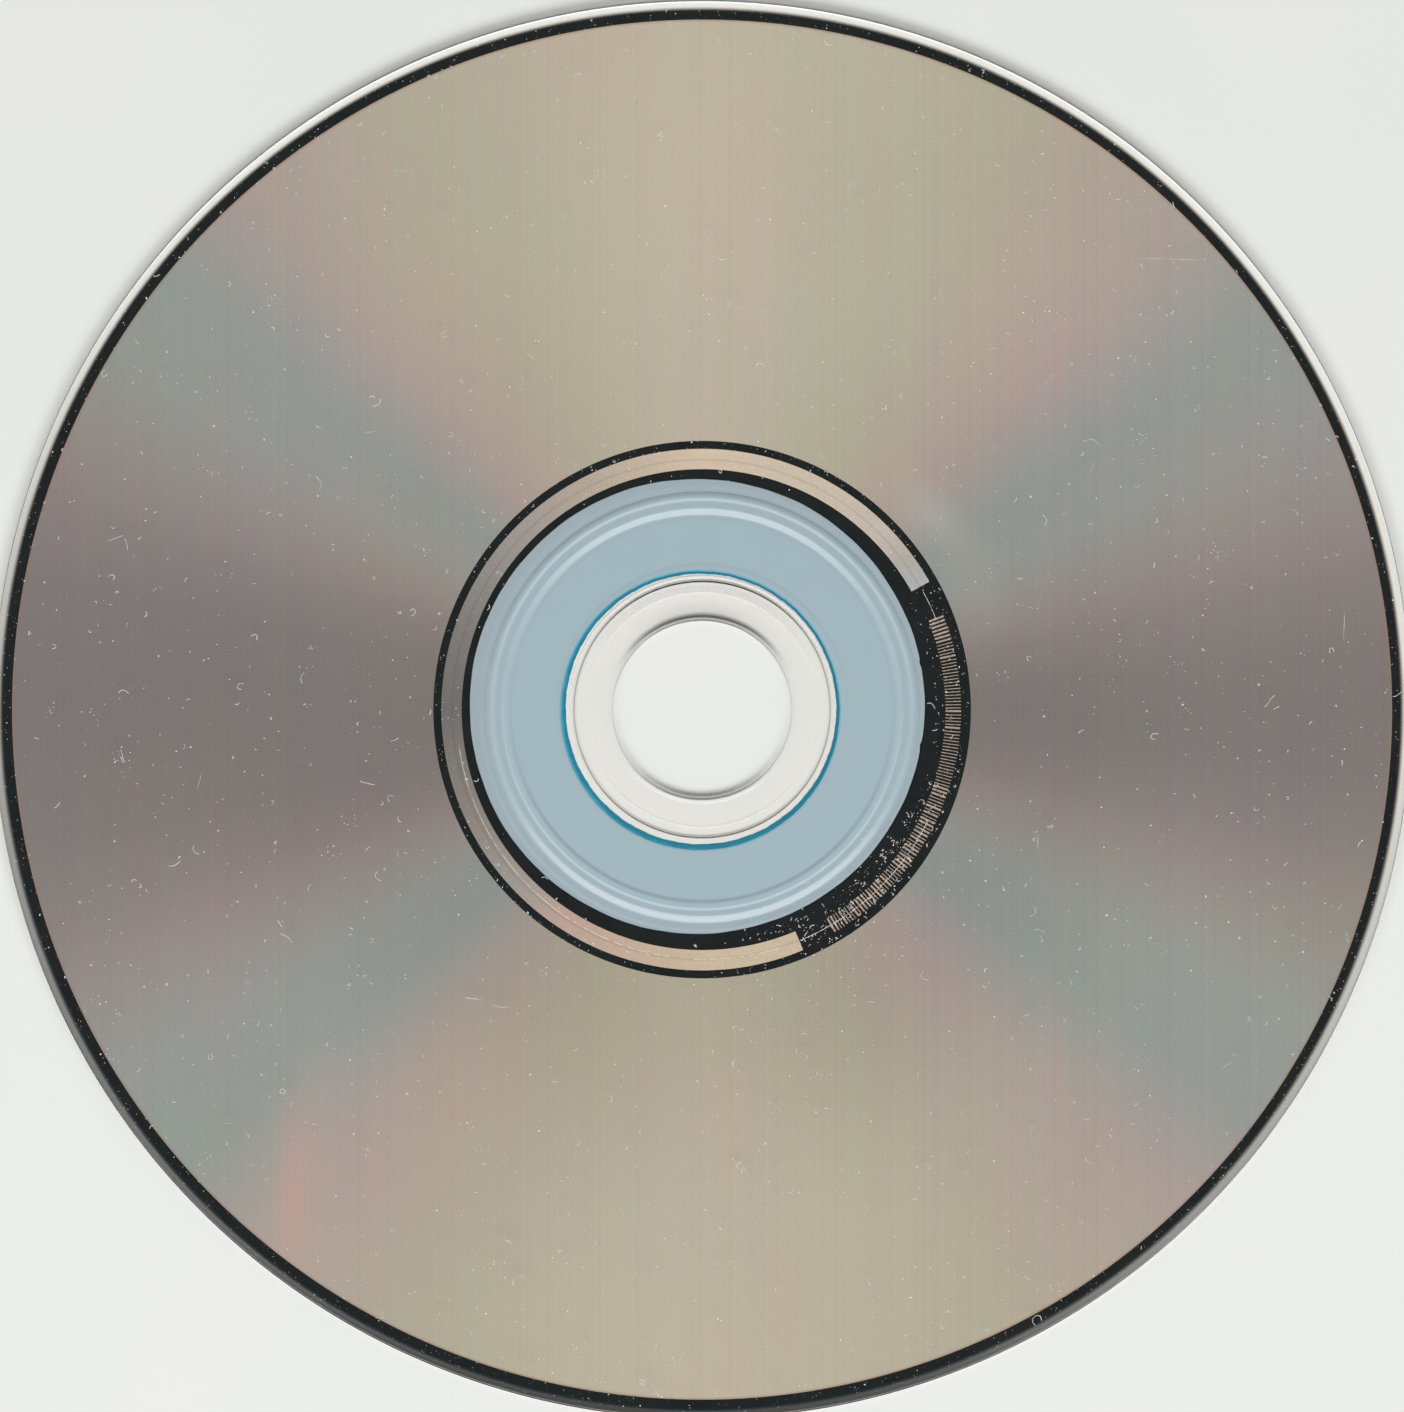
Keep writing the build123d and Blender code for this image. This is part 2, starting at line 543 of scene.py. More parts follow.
def rimMaterial():
    # Painted light and painted shade: a cream glow far from the lamp stands in for light that runs
    # sideways through the plastic and comes out here, and dim tones near the lamp for shade.
    material, tree = newMaterial("rimUndersideLightAndShade")
    at = discPlace(tree)
    reach = maths(tree, "SUBTRACT", at.across, moulding["rimTonesFrom"])
    far = toneRamp(tree, reach, moulding["rimPaintedGlow"])
    near = toneRamp(tree, reach, moulding["rimPaintedShade"])
    farShare = ease(tree, sideways(tree, at, moulding["rimSkew"]), *moulding["rimTurn"])
    paint = addNode(tree, "ShaderNodeBsdfDiffuse", {"Color": mixColour(tree, farShare, near, far)})
    bare = tree.nodes.new("ShaderNodeBsdfTransparent")
    fromFilm = discPlace(tree, moulding["rimFadeCentre"]).across
    asSurface(tree, mixShaders(tree, ease(tree, fromFilm, *moulding["rimFade"]), bare, paint))
    return material


def mouldingSection():
    # Out along the underside, up the rim, back along the read face and down the hole.
    m = moulding
    under, face = m["underside"], m["readFace"]
    insertFace, crestFace = face - m["insertDepth"], face + m["ridgeHeight"]
    hole, mouth, rim = m["holeRadius"], m["holeRadius"] + m["holeBevel"], m["rimRadius"]
    groove, half, root = m["grooveRadius"], m["grooveHalf"], m["grooveRoot"]
    ridge, foot, crest = m["ridgeRadius"], m["ridgeFoot"], m["ridgeCrest"]
    return [
        (mouth, under),
        (m["hubStop"], under),
        (groove - half, under),
        (groove - root, under + m["grooveDepth"]),
        (groove + root, under + m["grooveDepth"]),
        (groove + half, under),
        (m["hubOuter"], under),
        *[(radius, under) for radius in stopsBetween(m["hubOuter"], m["rimShadeFrom"])],
        (m["rimShadeFrom"], under),
        (rim - m["rimBevel"], under),
        (rim, under + m["rimBevel"]),
        (rim, m["wallShade"]),
        (rim, face),
        (rim - m["rimRound"][0] - m["rimFlat"], face),
        *[(radius, face) for radius in reversed(stopsBetween(ridge + foot, rim))],
        (ridge + foot + m["ridgeFlat"], face),
        (ridge + foot, face),
        (ridge + crest, crestFace),
        (ridge - crest, crestFace),
        (ridge - foot, face),
        (ridge - foot - m["ridgeFlat"], face),
        (m["insertRadius"], face),
        (m["insertRadius"], insertFace),
        (mouth, insertFace),
        (hole, insertFace - m["holeBevel"]),
        (hole, m["wallShade"]),
        (hole, under + m["holeBevel"]),
    ]


def finishOf(polygon):
    # Which of the moulding's materials a face takes.
    m = moulding
    middle = polygon.calc_center_median()
    radius, height, tilt = middle.xy.length, middle.z, polygon.normal.z
    if radius < m["holeRadius"] + m["wallReach"]:
        return "holeWall" if height < m["wallShade"] else "clearPolycarbonate"
    if radius < m["holeRadius"] + m["holeBevel"]:
        return "upperMouth" if tilt > 0 else "lowerMouth"
    if radius > m["rimRadius"] - m["wallReach"]:
        return "rimWall"
    atRoot = abs(height - m["underside"] - m["grooveDepth"]) < hair
    if atRoot and radius < m["grooveRadius"] + m["grooveHalf"]:
        return "grooveFloor"
    if tilt >= 0:
        return "ridgeGloss" if tilt < levelTilt else "clearPolycarbonate"
    if radius < m["hubOuter"]:
        return "hubUndersideLightAndShade"
    return "bondedUnderside" if radius < m["rimShadeFrom"] else "rimUndersideLightAndShade"


def makeMoulding():
    m = moulding
    mesh = bmesh.new()
    spunRing(mesh, mouldingSection())
    face = m["readFace"]
    bevelEdges(mesh, ringEdges(mesh, m["rimRadius"], face), *m["rimRound"])
    for reach, height in ((m["ridgeFoot"], face), (m["ridgeCrest"], face + m["ridgeHeight"])):
        for side in (1, -1):
            edges = ringEdges(mesh, m["ridgeRadius"] + side * reach, height)
            bevelEdges(mesh, edges, *m["ridgeRound"])
    bmesh.ops.recalc_face_normals(mesh, faces=mesh.faces)
    materials = [
        clearMaterial("clearPolycarbonate", 0.0),
        # painted shade by the side of the disc on these five, which also cast real shadows
        sidedShadeMaterial("holeWall", m["holeWall"]),
        sidedShadeMaterial("upperMouth", m["upperMouth"]),
        sidedShadeMaterial("lowerMouth", m["lowerMouth"]),
        sidedShadeMaterial("rimWall", m["rimWall"], m["rimTint"], m["rimSkew"]),
        sidedShadeMaterial("grooveFloor", m["grooveFloor"], m["grooveTint"]),
        hubMaterial(),
        bondedMaterial(),
        rimMaterial(),
        clearMaterial("ridgeGloss", m["ridgeGloss"]),
    ]
    names = [material.name for material in materials]
    for polygon in mesh.faces:
        polygon.material_index = names.index(finishOf(polygon))
    piece = finishPiece("moulded_disc", mesh, materials)
    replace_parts(piece, "polycarbonate_disc")


makeMoulding()
print("moulding spun")


# Reflective film: mirror rings, the code band with its gap, and the data area

film = {
    "low": 0.058,
    "high": 0.070,
    "innerEdge": (19.27, (-0.42, 0.27)),
    "innerFade": (0.12, 0.9),  # how wide the thin metal at that edge is, and how clear it gets
    "waves": ((0.018, 7, 0.6), (0.012, 17, 2.1), (0.007, 41, 0)),
    "notches": ((11, 0.8, 0.09), (-10, 0.8, 0.09)),  # angle, width in degrees, depth
    "bandInner": 20.37,
    "bandOuter": 22.09,
    "bandStart": 29.4,
    "bandEnd": 292.8,
    "dataInner": 22.77,
    "dataOuter": 58.45,
    "outerEdge": (59.60, (-0.13, 0.01)),
    "outerFade": (0.34, 0.02),
    "metal": [(0.35, (93, 97, 96)), (0.7, (108, 111, 108))],
}


def mirrorMaterial():
    # Bare metal over flat plastic. Overhead it reflects a dim room and looks black.
    material, tree = newMaterial("mirrorFilm")
    outer, outerCentre = film["outerEdge"]
    inner, innerCentre = film["innerEdge"]
    at = discPlace(tree, outerCentre)
    smudge = noise(tree, at.place, scale=0.35, detail=4.0)
    metal = toneRamp(tree, smudge.outputs["Fac"], film["metal"])
    mirror = solidShader(tree, metal, roughness=0.08, metallic=1.0)
    bare = tree.nodes.new("ShaderNodeBsdfTransparent")
    fadeFrom, fadeTo = film["outerFade"]
    outerGone = ease(tree, at.across, outer - fadeFrom, outer - fadeTo)
    fade, clearest = film["innerFade"]
    fromInner = discPlace(tree, innerCentre).across
    innerGone = ease(tree, fromInner, inner + fade, inner, 0.0, clearest)
    asSurface(tree, mixShaders(tree, maths(tree, "ADD", outerGone, innerGone), mirror, bare))
    return material


dataArea = {
    "skew": (3.2, 1.4),  # degrees that the wedges of tone turn by, at the right edge and the far edge
    "tones": [
        # painted sheen: folded angle from the X axis in degrees, and the tone there
        (0, (122, 115, 112)),
        (8, (125, 117, 114)),
        (15, (135, 125, 121)),
        (19, (144, 133, 128)),
        (24, (147, 142, 135)),
        (29, (147, 149, 142)),
        (38, (145, 151, 144)),
        (43, (158, 153, 147)),
        (48, (171, 156, 147)),
        (56, (177, 163, 149)),
        (66, (179, 171, 151)),
        (77, (185, 176, 156)),
        (90, (191, 179, 160)),
    ],
    "nearHub": (46.0, 22.0),  # radii where the area starts to get duller and is dullest
    "lowerHalf": (0.15, -0.6),  # sines between which the lower half's share of it comes up
    "sheenDimming": (0.035, 0.10),  # by how much all round, and how much more in the lower half
    "lowest": (-0.55, -0.95, 1.0, 0.94),  # sines where it dims and is dimmest, and the gains
    "grain": [
        # streaks across the disc or grain in both directions, scale, detail, change of tone
        ("1D", 2.8, 1.0, 0.028),
        ("1D", 0.45, 1.0, 0.018),
        ("2D", 7.0, 1.0, 0.070),
        ("2D", 0.055, 0.0, 0.022),
    ],
    "edge": (58.20, 58.45, 0.55),  # radii between which the brown outer line comes up, and its strength
    "edgeTone": (150, 112, 92),
    "patchFade": 1.3,  # how many times its half sizes a patch fades out over
    "patches": [
        # centre, half width, half height, tilt in degrees, tone, strength
        ((-34.6, -41.2), 1.5, 8.0, -3, (200, 154, 141), 0.36),
        ((-33.6, -38.5), 3.4, 12.0, -5, (184, 157, 147), 0.36),
        ((19.6, 16.4), 2.2, 4.4, 42, (182, 180, 170), 0.36),
        ((22.6, 12.6), 2.6, 6.0, 22, (160, 158, 148), 0.35),
        ((5.0, 42.0), 2.2, 18.0, 0, (196, 178, 162), 0.5),
        ((7.0, -50.0), 2.6, 9.0, 3, (190, 168, 150), 0.4),
    ],
}


def patched(tree, at, colour, centre, halfWidth, halfHeight, tilt, patchTone, strength):
    # A soft oval of another tone.
    lean = math.radians(tilt)
    fromX = maths(tree, "SUBTRACT", at.x, centre[0])
    fromY = maths(tree, "SUBTRACT", at.y, centre[1])
    along = weighed(tree, fromX, math.cos(lean) / halfWidth, fromY, math.sin(lean) / halfWidth)
    over = weighed(tree, fromX, -math.sin(lean) / halfHeight, fromY, math.cos(lean) / halfHeight)
    share = ease(tree, lengthOf(tree, along, over), dataArea["patchFade"], 0.0, 0.0, strength)
    return mixColour(tree, share, colour, tone(*patchTone, gain=clearGain))


def foldedAngle(tree, at):
    # 0 along the X axis and 1 along the Y axis, a little skewed as the lamp of a scanner is.
    turn = maths(tree, "ARCTAN2", maths(tree, "ABSOLUTE", at.y), maths(tree, "ABSOLUTE", at.x))
    degrees = maths(tree, "MULTIPLY", turn, 180 / math.pi)
    right, far = dataArea["skew"]
    sideX = maths(tree, "DIVIDE", at.x, at.across)
    sideY = maths(tree, "DIVIDE", at.y, at.across)
    skewed = maths(tree, "ADD", degrees, weighed(tree, sideX, right, sideY, far))
    return maths(tree, "DIVIDE", skewed, 90.0, clamp=True)


def dimmedSheenGain(tree, at):
    # Dims the painted sheen: below 1 towards the hub, most of all in the lower half, and in the lowest
    # part.
    upward = maths(tree, "DIVIDE", at.y, at.across)
    allRound, lower = dataArea["sheenDimming"]
    down = ease(tree, upward, *dataArea["lowerHalf"])
    nearHub = ease(tree, at.across, *dataArea["nearHub"])
    amount = maths(tree, "MULTIPLY_ADD", down, lower, allRound)
    lowest = ease(tree, upward, *dataArea["lowest"])
    return maths(tree, "SUBTRACT", lowest, maths(tree, "MULTIPLY", amount, nearHub))


def grained(tree, at, colour, dimensions, scale, detail, reach):
    # Coloured unevenness, by up to the reach.
    place = at.x if dimensions == "1D" else at.place
    grain = noise(tree, place, scale, detail, dimensions=dimensions)
    inputs = {"Vector": grain.outputs["Color"], "From Min": [0.25] * 3, "From Max": [0.75] * 3}
    inputs.update({"To Min": [1 - reach] * 3, "To Max": [1 + reach] * 3})
    spread = addNode(tree, "ShaderNodeMapRange", inputs, data_type="FLOAT_VECTOR")
    return mixColour(tree, 1.0, colour, spread.outputs["Vector"], "MULTIPLY")


def dataMaterial():
    # The tones by angle are a painted sheen: they stand in for the lamp's light that the spiral
    # diffracts, so they stay put when the light moves.
    material, tree = newMaterial("dataSpiral")
    at = discPlace(tree)
    stops = [(angle / 90, colour) for angle, colour in dataArea["tones"]]
    colour = toneRamp(tree, foldedAngle(tree, at), stops, gain=clearGain)
    colour = brighten(tree, colour, dimmedSheenGain(tree, at))
    for row in dataArea["grain"]:
        colour = grained(tree, at, colour, *row)
    start, full, strength = dataArea["edge"]
    edge = ease(tree, at.across, start, full, 0.0, strength)
    colour = mixColour(tree, edge, colour, tone(*dataArea["edgeTone"], gain=clearGain))
    for patch in dataArea["patches"]:
        colour = patched(tree, at, colour, *patch)
    asSurface(tree, solidShader(tree, colour, roughness=0.38, specular=0.3))
    return material


codeBand = {
    "tones": [
        # painted sheen: part of a whole turn from the X axis, and the tone there
        (0.075, (170, 178, 178)),
        (0.10, (176, 170, 162)),
        (0.125, (195, 184, 170)),
        (0.25, (210, 191, 168)),
        (0.32, (182, 167, 150)),
        (0.375, (158, 150, 145)),
        (0.45, (124, 120, 116)),
        (0.50, (109, 106, 103)),
        (0.57, (138, 129, 122)),
        (0.62, (156, 150, 142)),
        (0.66, (186, 159, 146)),
        (0.75, (200, 181, 155)),
        (0.82, (201, 183, 157)),
    ],
    "grain": (0.3, 0.7, 0.95, 1.05),  # range of the noise, and the gains
    "line": (21.17, 0.03, 0.14, 0.86),  # radius, half of its core and of its width, its gain
}


def bandMaterial():
    # The tones round the band are a painted sheen, as on the data area. Its grain and dark line are its
    # own.
    material, tree = newMaterial("codeBand")
    at = discPlace(tree)
    turn = maths(tree, "DIVIDE", maths(tree, "ARCTAN2", at.y, at.x), math.tau)
    partRound = maths(tree, "FRACT", maths(tree, "ADD", turn, 1.0))
    colour = toneRamp(tree, partRound, codeBand["tones"], gain=clearGain)
    grains = noise(tree, at.place, scale=6.0, detail=3.0)
    grain = ease(tree, grains.outputs["Fac"], *codeBand["grain"])
    radius, core, reach, darkest = codeBand["line"]
    line = ease(tree, awayFrom(tree, at.across, radius), core, reach, darkest, 1.0)
    colour = brighten(tree, colour, maths(tree, "MULTIPLY", grain, line))
    asSurface(tree, solidShader(tree, colour, roughness=0.35, specular=0.3))
    return material


def filmWave(angle):
    # The slightly uneven edge that the mask leaves, with its small notches.
    wave = edgeWave(angle, film["waves"])
    for middle, width, depth in film["notches"]:
        wave -= depth * math.exp(-(((math.degrees(angle) - middle) / width) ** 2))
    return wave


def makeFilm():
    f = film
    low, high = f["low"], f["high"]
    innerRadius, innerCentre = f["innerEdge"]
    outerRadius, outerCentre = f["outerEdge"]
    mirror = mirrorMaterial()

    rings = bmesh.new()
    spunRing(rings, slabSection(innerRadius, f["bandInner"], low, high), steps=fineSteps)
    moveRing(rings, innerRadius, innerCentre, filmWave)
    spunRing(rings, slabSection(f["bandOuter"], f["dataInner"], low, high))
    spunRing(rings, slabSection(f["dataOuter"], outerRadius, low, high))
    moveRing(rings, outerRadius, outerCentre)

    slab = (f["bandInner"], f["bandOuter"], low, high)
    gap = bmesh.new()
    spunSector(gap, *slab, f["bandEnd"] - 360, f["bandStart"])
    band = bmesh.new()
    spunSector(band, *slab, f["bandStart"], f["bandEnd"])
    area = bmesh.new()
    spunRing(area, slabSection(f["dataInner"], f["dataOuter"], low, high))

    for name, mesh, material in (
        ("mirror_rings", rings, mirror),
        ("mirror_gap", gap, mirror),
        ("code_band", band, bandMaterial()),
        ("data_area", area, dataMaterial()),
    ):
        piece = finishPiece(name, mesh, [material])
        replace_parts(piece, "reflective_film")


makeFilm()
print("film rings made")


# Bar marks on the mirror gap. They are generic, of seeded widths, and stand for no number.

barMarks = {
    "start": 21.2,
    "end": -59.6,
    "inner": 20.6,
    "outer": 21.95,
    "seed": 41,
    "low": 0.0702,
    "thickness": 0.002,
    "broad": (0.16, 0.165),  # width of a bar and of the gap after it
    "fine": (0.070, 0.200),
    "firstBroad": 7,
    "turn": -18,  # the angle where the broad bars become the more common ones
    "broadShares": (0.16, 0.62),  # before the turn and after it
    "unequal": 0.05,  # by how much a bar may be longer or shorter than the others
    "cornerShare": 0.4,  # of a bar's width that its corners are rounded by
    "tones": [(0.3, (140, 124, 116)), (0.5, (166, 148, 134)), (0.7, (192, 172, 152))],
    "grain": (4.0, 3.0, 0.4),  # scale and detail of the noise, and the roughness
}


def makeBars():
    b = barMarks
    dice = random.Random(b["seed"])
    mesh = bmesh.new()
    middle = (b["inner"] + b["outer"]) / 2
    angle = b["start"]
    made = 0
    while angle > b["end"]:
        broadShare = b["broadShares"][0 if angle > b["turn"] else 1]
        broad = made < b["firstBroad"] or dice.random() < broadShare
        width, gap = b["broad" if broad else "fine"]
        length = b["outer"] - b["inner"] + dice.uniform(-b["unequal"], b["unequal"])
        place = (
            Matrix.Rotation(math.radians(angle), 4, "Z")
            @ Matrix.Translation((middle, 0, b["low"] + b["thickness"] / 2))
            @ Matrix.Diagonal((length, width, b["thickness"], 1))
        )
        bar = bmesh.new()
        bmesh.ops.create_cube(bar, size=1, matrix=place)
        rises = [(edge, abs(edge.verts[0].co.z - edge.verts[1].co.z)) for edge in bar.edges]
        upright = [edge for edge, rise in rises if rise > b["thickness"] / 2]
        bevelEdges(bar, upright, width * b["cornerShare"], segments=2)
        pour(mesh, bar)
        angle -= math.degrees((width + gap) / middle)
        made += 1
    burnt = cloudyMaterial("burntBars", b["tones"], *b["grain"], clearGain)
    finishPiece("bar_marks", mesh, [burnt])


makeBars()
print("bar marks made")


# Hairline circle that the stamper leaves across the band

hairline = {
    "radius": 21.05,
    "centre": (0.25, -0.10),
    "width": 0.036,
    "low": 0.0726,
    "high": 0.0738,
    "arcs": [(188, 334), (21.6, 28.6)],
    "tones": [(0.36, (168, 160, 150)), (0.56, (250, 242, 230))],
    "dots": (1.6, 2.0, 0.4),  # scale and detail of the noise, and the roughness
}


def makeHairline():
    h = hairline
    mesh = bmesh.new()
    inner, outer = h["radius"] - h["width"] / 2, h["radius"] + h["width"] / 2
    for start, end in h["arcs"]:
        arc = bmesh.new()
        spunSector(arc, inner, outer, h["low"], h["high"], start, end)
        pour(mesh, arc)
    bmesh.ops.translate(mesh, vec=(*h["centre"], 0), verts=mesh.verts)
    dotted = cloudyMaterial("stamperLine", h["tones"], *h["dots"], clearGain, h["centre"])
    finishPiece("stamper_line", mesh, [dotted])


makeHairline()
print("stamper line made")


# Clear lacquer that seals the film

lacquer = {"inner": 18.42, "outer": 59.74, "low": 0.045, "high": 0.055, "gloss": 0.12, "ior": 1.03}


def makeLacquer():
    mesh = bmesh.new()
    spunRing(mesh, slabSection(lacquer["inner"], lacquer["outer"], lacquer["low"], lacquer["high"]))
    material = clearMaterial("clearLacquer", lacquer["gloss"], lacquer["ior"])
    piece = finishPiece("lacquer_coat", mesh, [material])
    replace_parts(piece, "protective_lacquer")


makeLacquer()
print("lacquer made")


# Label inks under the clear hub

whiteInk = {
    "inner": (11.80, (-0.16, -0.07)),
    "outer": 58.8,
    "heights": (0.022, 0.040, 0.0715),  # lower face, upper face, and upper face where it fills
    "tones": [(0.0, (161, 181, 189)), (1.0, (158, 173, 180))],
    "reach": (15.5, 19.5),  # radii between which one tone gives way to the other
    "clouds": (0.5, 4.0, 0.6),  # scale, detail and roughness of the noise
    "cloudChange": (0.3, 0.7, -0.12, 0.12),  # range of the noise, and what it adds to the reach
    "thinTone": (112, 168, 188),
    "thinWidth": 0.24,  # how far from its inner edge the white is thin
    "ridgeLightAndShade": [
        # painted light and shade from the ridge: radius, half width, side (1 far from the lamp, -1 near
        # it), change of tone
        (18.30, 0.30, 1, -0.22),
        (17.80, 0.22, 1, 0.40),
        (12.28, 0.32, 1, -0.08),
        (18.85, 0.30, 1, 0.05),
        (16.25, 0.28, -1, -0.26),
        (16.92, 0.20, -1, 0.36),
        (18.75, 0.25, -1, 0.14),
    ],
    "bandsAround": (-0.1, 0.95, 0.12, 1.0),  # sines between which a band comes up, and its shares
}

blueInk = {
    "inner": (11.46, (-0.09, 0.04)),
    "outer": 58.9,
    "heights": (0.0, 0.020, 0.020),
    "tones": [
        (0.0, (8, 118, 142)),
        (0.18, (12, 124, 150)),
        (0.42, (72, 160, 184)),
        (1.0, (24, 128, 154)),
    ],
    "reach": (11.40, 12.60),
    "clouds": (0.6, 5.0, 0.65),
    "cloudChange": (0.3, 0.75, -0.08, 0.08),
}

fillOuter = 18.40  # inside this radius the white fills up to the moulding
fillStep = 0.01
inkWaves = ((0.012, 23, 1.3), (0.010, 57, 0), (0.007, 111, 0.4))


def inkColour(tree, at, facts):
    # The ink's tones from its inner edge outwards, a little cloudy.
    clouds = noise(tree, at.place, *facts["clouds"])
    cloud = ease(tree, clouds.outputs["Fac"], *facts["cloudChange"])
    reach = ease(tree, at.across, *facts["reach"])
    shade = maths(tree, "ADD", reach, cloud, clamp=True)
    return toneRamp(tree, shade, facts["tones"], gain=clearGain)


def whiteInkMaterial():
    # Thin white over blue, so it looks pale blue. The screen left it faintly uneven.
    material, tree = newMaterial("whiteInk")
    at = discPlace(tree)
    colour = inkColour(tree, at, whiteInk)
    innerRadius, innerCentre = whiteInk["inner"]
    fromInner = discPlace(tree, innerCentre).across
    thin = ease(tree, fromInner, innerRadius + whiteInk["thinWidth"], innerRadius)
    colour = mixColour(tree, thin, colour, tone(*whiteInk["thinTone"], gain=clearGain))
    # Painted light and shade: bright and dark rings where the ridge above bends the lamp's light, each
    # on the side given in its row.
    gain = 1.0
    upward = maths(tree, "DIVIDE", at.y, at.across)
    for radius, half, side, amount in whiteInk["ridgeLightAndShade"]:
        band = ease(tree, awayFrom(tree, at.across, radius), half, 0.0)
        toSide = maths(tree, "MULTIPLY", upward, side)
        where = ease(tree, toSide, *whiteInk["bandsAround"])
        gain = maths(tree, "MULTIPLY_ADD", maths(tree, "MULTIPLY", band, where), amount, gain)
    asSurface(tree, solidShader(tree, brighten(tree, colour, gain), roughness=0.5, specular=0.2))
    return material


def blueInkMaterial():
    # Solid blue with the faint dots of its printing screen.
    material, tree = newMaterial("blueInk")
    at = discPlace(tree)
    colour = inkColour(tree, at, blueInk)
    dots = addNode(tree, "ShaderNodeTexVoronoi", {"Vector": at.place, "Scale": 5.0, "Randomness": 0.15})
    inputs = {"Height": dots.outputs["Distance"], "Strength": 0.15, "Distance": 0.02 * mm}
    bump = addNode(tree, "ShaderNodeBump", inputs)
    shader = solidShader(tree, colour, roughness=0.42, specular=0.4)
    tree.links.new(bump.outputs[0], shader.inputs["Normal"])
    asSurface(tree, shader)
    return material


def inkWave(angle):
    # The ragged edge that the printing screen leaves.
    return edgeWave(angle, inkWaves)


def makeInk(name, facts, material):
    # A coat with a step up inside the film's edge, where it fills to the moulding.
    radius, centre = facts["inner"]
    outer = facts["outer"]
    low, high, filled = facts["heights"]
    bottom = [radius, *stopsBetween(radius, outer), outer]
    top = [fillOuter + fillStep, *stopsBetween(fillOuter, outer), outer]
    section = [(reach, low) for reach in bottom] + [(reach, high) for reach in reversed(top)]
    mesh = bmesh.new()
    spunRing(mesh, section + [(fillOuter, filled), (radius, filled)], steps=fineSteps)
    moveRing(mesh, radius, centre, inkWave)
    return finishPiece(name, mesh, [material])


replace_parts(makeInk("white_ink", whiteInk, whiteInkMaterial()), "white_label_ink")
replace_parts(makeInk("blue_ink", blueInk, blueInkMaterial()), "blue_label_ink")
print("inks made")


# Dust, fibres and scratches that lie on the read side, and one speck that is a painted highlight

litter = {
    "seed": 7,
    "face": 1.271,
    "sharpAngle": 60,
    "dustTone": (246, 246, 242),
    "lintTone": (240, 240, 236),
    "scratchTone": (226, 222, 214),
    "dullShare": 0.78,  # what is left of a tone in its duller places
    "ridgeSink": 0.02,  # how much lower specks lie on the ridge's slopes and crest
    "specks": [
        # count, inner and outer radius, start and end angle, smallest and largest half width
        (2600, 19.5, 59.4, 0, 360, 0.020, 0.070),
        (1000, 58.4, 59.7, 0, 360, 0.014, 0.036),
        (260, 19.6, 22.6, -66, 30, 0.020, 0.055),
        (140, 22.1, 22.7, 30, 294, 0.018, 0.040),
        (160, 17.0, 27.0, -80, -30, 0.020, 0.060),
        (60, 19.3, 20.5, -75, -20, 0.018, 0.042),
        (40, 8.0, 19.0, 0, 360, 0.020, 0.040),
    ],
    "speckStretch": (1, 1, 1.3, 1.8),  # how many times longer than wide, drawn evenly
    "speckHalfHeight": 0.010,
    "handful": 50,  # specks that are made together
    "clusters": 70,
    "clusterRadii": (20.0, 58.0),
    "clusterCount": (5, 11),
    "clusterSpread": (0.45, 0.35),  # in X and in Y
    "clusterHalf": (0.018, 0.055),
    "clusterStretch": 1.3,
    "glintSpecks": [((-10.93, -0.2), 0.05, 0.16)],  # painted highlight, a pale speck where the groove shows a glint: centre, half width in X and in Y
    "fibres": [
        # count, inner and outer radius, start and end angle, shortest and longest step between knots
        (90, 19.5, 59.2, 0, 360, 0.14, 0.36),
        (560, 19.5, 59.2, 0, 360, 0.05, 0.15),
        (90, 19.2, 22.5, -80, -16, 0.04, 0.12),
    ],
    "fibreThickness": 0.030,
    "fibreLift": 0.012,
    "fibreCurl": 1.5,
    "fibreKink": 0.5,
    "loops": [((-15.4, -48.5), 0.42), ((28.3, -51.7), 0.40), ((-35.6, -32.4), 0.30)],
    "loopCurl": 1.05,
    "loopStride": 1.02,  # step between knots, as a share of the loop's radius
    "scratchHalf": (0.022, 0.004),  # half width and half height
    "scratches": [
        # centre, length, turn in degrees
        ((39.8, 38.1), 6.0, -2),
        ((54.3, 7.1), 2.4, 88),
        ((-49.6, 14.5), 1.6, 20),
        ((12.5, 44.4), 1.3, 70),
        ((11.0, 39.0), 1.0, 35),
        ((-14.6, 30.0), 1.2, -40),
        ((28.4, -11.2), 1.4, 90),
        ((-28.0, 23.5), 1.1, 12),
        ((33.0, 20.5), 1.2, 65),
        ((24.5, 30.5), 1.0, 10),
        ((-42.5, -6.0), 1.4, 75),
        ((44.5, -30.0), 1.2, 30),
    ],
}


def paleMaterial(name, level):
    sheenDimming = tuple(round(litter["dullShare"] * part) for part in level)
    tones = [(0.35, sheenDimming), (0.65, level)]
    return cloudyMaterial(name, tones, scale=0.9, detail=2.0, roughness=0.8)


def restHeight(x, y):
    # The read side's height under a speck, over the ridge too.
    m = moulding
    fromCrest = abs(math.hypot(x, y) - m["ridgeRadius"])
    if fromCrest > m["ridgeFoot"]:
        return litter["face"]
    slope = (m["ridgeFoot"] - fromCrest) / (m["ridgeFoot"] - m["ridgeCrest"])
    return litter["face"] + m["ridgeHeight"] * min(1.0, slope) - litter["ridgeSink"]


def addSpeck(mesh, place, halfSizes, turn=0.0, subdivisions=1):
    turned = Matrix.Translation(place) @ Matrix.Rotation(turn, 4, "Z")
    matrix = turned @ Matrix.Diagonal((*halfSizes, 1))
    bmesh.ops.create_icosphere(mesh, subdivisions=subdivisions, radius=1, matrix=matrix)


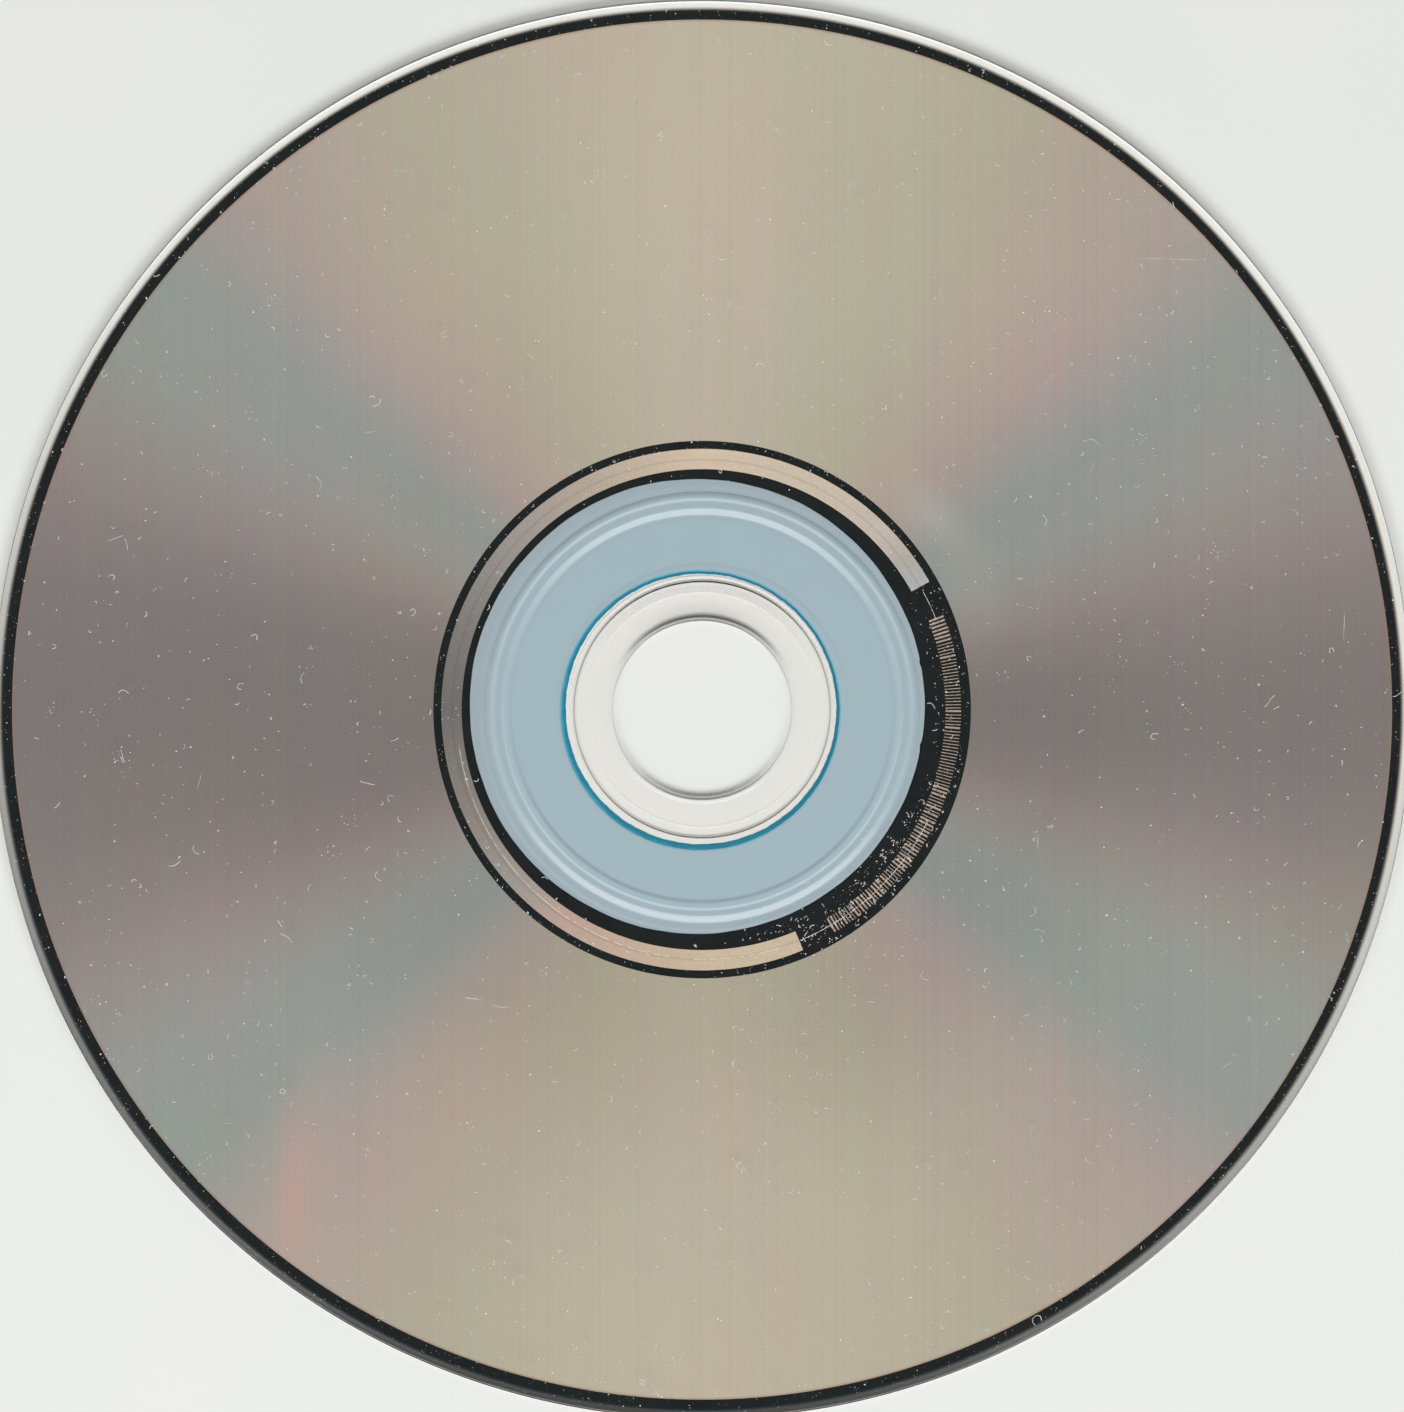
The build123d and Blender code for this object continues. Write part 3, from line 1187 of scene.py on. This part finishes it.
def somewhere(dice, inner, outer, start, end):
    # A place drawn evenly over a part of the disc.
    radius = math.sqrt(dice.uniform(inner ** 2, outer ** 2))
    angle = math.radians(dice.uniform(start, end))
    return radius * math.cos(angle), radius * math.sin(angle)


def makeSpecks(dice):
    k = litter
    thick = k["speckHalfHeight"]
    mesh = bmesh.new()
    for count, inner, outer, start, end, least, most in k["specks"]:
        for first in range(0, count, k["handful"]):
            handful = bmesh.new()
            for _ in range(first, min(count, first + k["handful"])):
                x, y = somewhere(dice, inner, outer, start, end)
                half = least + (most - least) * dice.random() ** 2
                halfLong = half * dice.choice(k["speckStretch"])
                place, halfSizes = (x, y, restHeight(x, y)), (halfLong, half, thick)
                addSpeck(handful, place, halfSizes, dice.uniform(0, math.tau))
            pour(mesh, handful)
    spreadX, spreadY = k["clusterSpread"]
    for _ in range(k["clusters"]):
        handful = bmesh.new()
        middleX, middleY = somewhere(dice, *k["clusterRadii"], 0, 360)
        for _ in range(dice.randint(*k["clusterCount"])):
            x = middleX + dice.gauss(0, spreadX)
            y = middleY + dice.gauss(0, spreadY)
            half = dice.uniform(*k["clusterHalf"])
            addSpeck(handful, (x, y, k["face"]), (half * k["clusterStretch"], half, thick))
        pour(mesh, handful)
    # A pale speck as a painted highlight over the groove.
    for centre, half, halfLong in k["glintSpecks"]:
        addSpeck(mesh, (*centre, k["face"]), (half, halfLong, thick), subdivisions=2)
    dust = paleMaterial("houseDust", k["dustTone"])
    finishPiece("dust_specks", mesh, [dust], k["sharpAngle"])


def addFibre(line, point, heading, curl, stride, dice, knots=5):
    spline = line.splines.new("NURBS")
    spline.points.add(knots - 1)
    for knot in spline.points:
        knot.co = (*point, 1)
        point = point + Vector((math.cos(heading), math.sin(heading), 0)) * stride
        heading += curl + dice.uniform(-litter["fibreKink"], litter["fibreKink"])
    spline.order_u = 3
    spline.use_endpoint_u = True


def makeFibres(dice):
    k = litter
    height = k["face"] + k["fibreLift"]
    line = bpy.data.curves.new("fibreLines", "CURVE")
    line.dimensions = "3D"
    line.bevel_depth = k["fibreThickness"]
    line.bevel_resolution = 0
    line.resolution_u = 3
    line.use_fill_caps = True
    for count, inner, outer, start, end, shortest, longest in k["fibres"]:
        for _ in range(count):
            place = Vector((*somewhere(dice, inner, outer, start, end), height))
            heading = dice.uniform(0, math.tau)
            curl = dice.uniform(-k["fibreCurl"], k["fibreCurl"])
            stride = dice.uniform(shortest, longest)
            addFibre(line, place, heading, curl, stride, dice)
    for centre, radius in k["loops"]:
        place = Vector((centre[0] + radius, centre[1], height))
        stride = radius * k["loopStride"]
        addFibre(line, place, math.pi / 2, k["loopCurl"], stride, dice, knots=6)
    holder = bpy.data.objects.new("fibreLines", line)
    bpy.context.scene.collection.objects.link(holder)
    depsgraph = bpy.context.evaluated_depsgraph_get()
    data = bpy.data.meshes.new_from_object(holder.evaluated_get(depsgraph))
    bpy.data.objects.remove(holder)
    mesh = bmesh.new()
    mesh.from_mesh(data)
    bpy.data.meshes.remove(data)
    lint = paleMaterial("lintFibre", k["lintTone"])
    finishPiece("dust_fibres", mesh, [lint], k["sharpAngle"])


def makeScratches():
    k = litter
    mesh = bmesh.new()
    for centre, length, turn in k["scratches"]:
        halfSizes = (length / 2, *k["scratchHalf"])
        addSpeck(mesh, (*centre, k["face"]), halfSizes, math.radians(turn), subdivisions=2)
    scratched = paleMaterial("scratchedPlastic", k["scratchTone"])
    finishPiece("surface_scratches", mesh, [scratched], k["sharpAngle"])


litterDice = random.Random(litter["seed"])
makeSpecks(litterDice)
makeFibres(litterDice)
makeScratches()
print("dust, fibres and scratches laid")


print("pieces ready")
